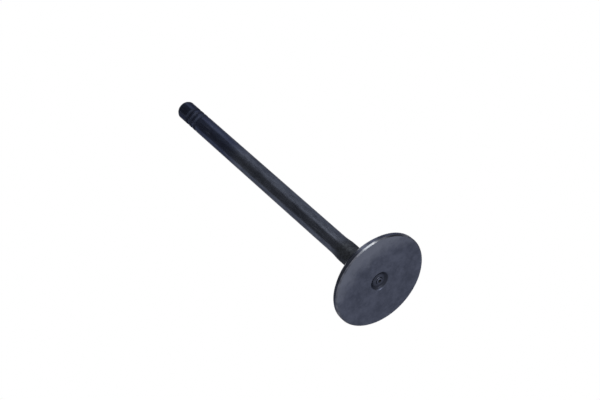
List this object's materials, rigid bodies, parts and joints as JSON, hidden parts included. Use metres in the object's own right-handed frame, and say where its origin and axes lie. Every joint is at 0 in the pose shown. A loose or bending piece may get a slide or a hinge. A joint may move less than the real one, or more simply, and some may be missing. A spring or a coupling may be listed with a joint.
{
  "type": "engine valve",
  "caption": "Poppet valve for a diesel engine: flat disc head with a 45 degree seat, a long plain stem and keeper grooves near the tip.",
  "frame": {"origin": "centre of the flat combustion face of the head, which the valve stands on", "axes": "+Z along the stem from the head to the tip; X and Y are alike, because the valve is a solid of revolution"},
  "size_m": [0.0493, 0.0492, 0.1724],
  "materials": {
    "nitrided_steel": "dark blue-grey nitrided steel; ground stem, turned head, neck left as forged"
  },
  "bodies": {
    "root": {"valve": "nitrided_steel"}
  },
  "joints": []
}
